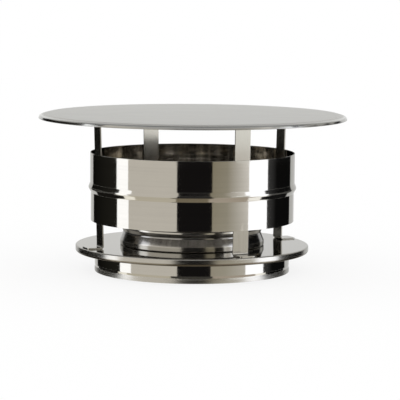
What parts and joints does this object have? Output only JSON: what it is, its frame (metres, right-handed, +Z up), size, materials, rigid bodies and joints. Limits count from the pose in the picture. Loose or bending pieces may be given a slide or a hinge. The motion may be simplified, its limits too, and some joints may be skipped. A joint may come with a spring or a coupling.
{
  "type": "chimney cap",
  "caption": "Stainless rain cap for a twin-wall flue: flat disc on bent struts over a wind ring, a base plate and two collars.",
  "frame": {"origin": "centre of the outer collar's bottom edge, on the flue's axis", "axes": "+Z up the flue towards the rain cap; -Y is the side that faces the camera in the reference view"},
  "size_m": [0.276, 0.276, 0.1408],
  "materials": {
    "bright_collar": "polished",
    "bright_plate": "polished",
    "bright_ring": "polished",
    "bright_strut": "polished",
    "satin_cap": "satin"
  },
  "bodies": {
    "root": {"outer_collar": "bright_collar", "base_plate": "bright_plate", "inner_collar": "bright_collar", "wind_ring": "bright_ring", "rain_cap": "satin_cap", "strut_front": "bright_strut", "strut_right": "bright_strut", "strut_rear": "bright_strut", "strut_left": "bright_strut"}
  },
  "joints": []
}
